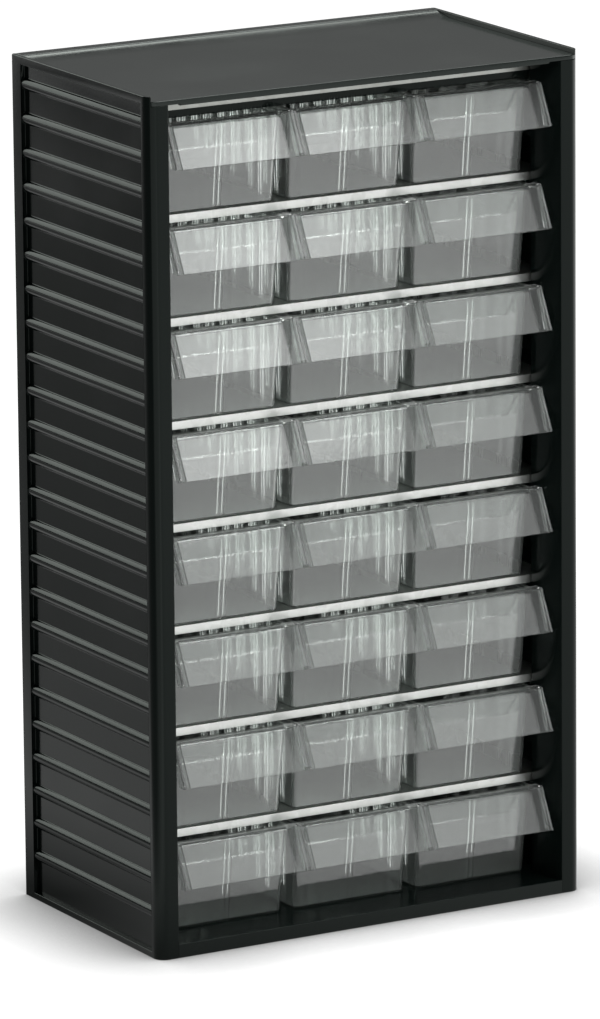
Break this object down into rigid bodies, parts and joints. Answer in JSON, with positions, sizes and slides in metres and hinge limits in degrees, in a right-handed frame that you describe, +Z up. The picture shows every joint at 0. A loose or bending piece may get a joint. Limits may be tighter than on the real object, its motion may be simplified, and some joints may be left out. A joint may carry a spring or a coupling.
{
  "type": "parts organizer",
  "caption": "Upright small-parts cabinet: black ribbed case, bright steel shelves and clear drawers with hooded finger pulls that slide out at the front.",
  "frame": {"origin": "middle of the underside of the case", "axes": "+X to the right seen from the front, -Y out of the drawer fronts, +Z up"},
  "size_m": [0.31, 0.18, 0.55],
  "materials": {
    "case_plastic": "black moulded polystyrene with a soft sheen",
    "shelf_steel": "bright zinc-plated sheet steel",
    "drawer_clear": "crystal-clear moulded polystyrene"
  },
  "bodies": {
    "cabinet": {"side_left": "case_plastic", "side_right": "case_plastic", "base": "case_plastic", "top": "case_plastic", "back": "case_plastic", "shelf_1": "shelf_steel", "shelf_2": "shelf_steel", "shelf_3": "shelf_steel", "shelf_4": "shelf_steel", "shelf_5": "shelf_steel", "shelf_6": "shelf_steel", "shelf_7": "shelf_steel", "top_plate": "shelf_steel", "stop_rail": "case_plastic"},
    "drawer_r8_c1": {"drawer_r8_c1": "drawer_clear"},
    "drawer_r8_c2": {"drawer_r8_c2": "drawer_clear"},
    "drawer_r8_c3": {"drawer_r8_c3": "drawer_clear"},
    "drawer_r7_c1": {"drawer_r7_c1": "drawer_clear"},
    "drawer_r7_c2": {"drawer_r7_c2": "drawer_clear"},
    "drawer_r7_c3": {"drawer_r7_c3": "drawer_clear"},
    "drawer_r6_c1": {"drawer_r6_c1": "drawer_clear"},
    "drawer_r6_c2": {"drawer_r6_c2": "drawer_clear"},
    "drawer_r6_c3": {"drawer_r6_c3": "drawer_clear"},
    "drawer_r5_c1": {"drawer_r5_c1": "drawer_clear"},
    "drawer_r5_c2": {"drawer_r5_c2": "drawer_clear"},
    "drawer_r5_c3": {"drawer_r5_c3": "drawer_clear"},
    "drawer_r4_c1": {"drawer_r4_c1": "drawer_clear"},
    "drawer_r4_c2": {"drawer_r4_c2": "drawer_clear"},
    "drawer_r4_c3": {"drawer_r4_c3": "drawer_clear"},
    "drawer_r3_c1": {"drawer_r3_c1": "drawer_clear"},
    "drawer_r3_c2": {"drawer_r3_c2": "drawer_clear"},
    "drawer_r3_c3": {"drawer_r3_c3": "drawer_clear"},
    "drawer_r2_c1": {"drawer_r2_c1": "drawer_clear"},
    "drawer_r2_c2": {"drawer_r2_c2": "drawer_clear"},
    "drawer_r2_c3": {"drawer_r2_c3": "drawer_clear"},
    "drawer_r1_c1": {"drawer_r1_c1": "drawer_clear"},
    "drawer_r1_c2": {"drawer_r1_c2": "drawer_clear"},
    "drawer_r1_c3": {"drawer_r1_c3": "drawer_clear"}
  },
  "joints": [
    {"name": "drawer_r8_c1_slide", "type": "slide", "parent": "cabinet", "child": "drawer_r8_c1", "axis": [0, -1, 0], "range_m": [0, 0.138]},
    {"name": "drawer_r8_c2_slide", "type": "slide", "parent": "cabinet", "child": "drawer_r8_c2", "axis": [0, -1, 0], "range_m": [0, 0.138]},
    {"name": "drawer_r8_c3_slide", "type": "slide", "parent": "cabinet", "child": "drawer_r8_c3", "axis": [0, -1, 0], "range_m": [0, 0.138]},
    {"name": "drawer_r7_c1_slide", "type": "slide", "parent": "cabinet", "child": "drawer_r7_c1", "axis": [0, -1, 0], "range_m": [0, 0.138]},
    {"name": "drawer_r7_c2_slide", "type": "slide", "parent": "cabinet", "child": "drawer_r7_c2", "axis": [0, -1, 0], "range_m": [0, 0.138]},
    {"name": "drawer_r7_c3_slide", "type": "slide", "parent": "cabinet", "child": "drawer_r7_c3", "axis": [0, -1, 0], "range_m": [0, 0.138]},
    {"name": "drawer_r6_c1_slide", "type": "slide", "parent": "cabinet", "child": "drawer_r6_c1", "axis": [0, -1, 0], "range_m": [0, 0.138]},
    {"name": "drawer_r6_c2_slide", "type": "slide", "parent": "cabinet", "child": "drawer_r6_c2", "axis": [0, -1, 0], "range_m": [0, 0.138]},
    {"name": "drawer_r6_c3_slide", "type": "slide", "parent": "cabinet", "child": "drawer_r6_c3", "axis": [0, -1, 0], "range_m": [0, 0.138]},
    {"name": "drawer_r5_c1_slide", "type": "slide", "parent": "cabinet", "child": "drawer_r5_c1", "axis": [0, -1, 0], "range_m": [0, 0.138]},
    {"name": "drawer_r5_c2_slide", "type": "slide", "parent": "cabinet", "child": "drawer_r5_c2", "axis": [0, -1, 0], "range_m": [0, 0.138]},
    {"name": "drawer_r5_c3_slide", "type": "slide", "parent": "cabinet", "child": "drawer_r5_c3", "axis": [0, -1, 0], "range_m": [0, 0.138]},
    {"name": "drawer_r4_c1_slide", "type": "slide", "parent": "cabinet", "child": "drawer_r4_c1", "axis": [0, -1, 0], "range_m": [0, 0.138]},
    {"name": "drawer_r4_c2_slide", "type": "slide", "parent": "cabinet", "child": "drawer_r4_c2", "axis": [0, -1, 0], "range_m": [0, 0.138]},
    {"name": "drawer_r4_c3_slide", "type": "slide", "parent": "cabinet", "child": "drawer_r4_c3", "axis": [0, -1, 0], "range_m": [0, 0.138]},
    {"name": "drawer_r3_c1_slide", "type": "slide", "parent": "cabinet", "child": "drawer_r3_c1", "axis": [0, -1, 0], "range_m": [0, 0.138]},
    {"name": "drawer_r3_c2_slide", "type": "slide", "parent": "cabinet", "child": "drawer_r3_c2", "axis": [0, -1, 0], "range_m": [0, 0.138]},
    {"name": "drawer_r3_c3_slide", "type": "slide", "parent": "cabinet", "child": "drawer_r3_c3", "axis": [0, -1, 0], "range_m": [0, 0.138]},
    {"name": "drawer_r2_c1_slide", "type": "slide", "parent": "cabinet", "child": "drawer_r2_c1", "axis": [0, -1, 0], "range_m": [0, 0.138]},
    {"name": "drawer_r2_c2_slide", "type": "slide", "parent": "cabinet", "child": "drawer_r2_c2", "axis": [0, -1, 0], "range_m": [0, 0.138]},
    {"name": "drawer_r2_c3_slide", "type": "slide", "parent": "cabinet", "child": "drawer_r2_c3", "axis": [0, -1, 0], "range_m": [0, 0.138]},
    {"name": "drawer_r1_c1_slide", "type": "slide", "parent": "cabinet", "child": "drawer_r1_c1", "axis": [0, -1, 0], "range_m": [0, 0.138]},
    {"name": "drawer_r1_c2_slide", "type": "slide", "parent": "cabinet", "child": "drawer_r1_c2", "axis": [0, -1, 0], "range_m": [0, 0.138]},
    {"name": "drawer_r1_c3_slide", "type": "slide", "parent": "cabinet", "child": "drawer_r1_c3", "axis": [0, -1, 0], "range_m": [0, 0.138]}
  ]
}
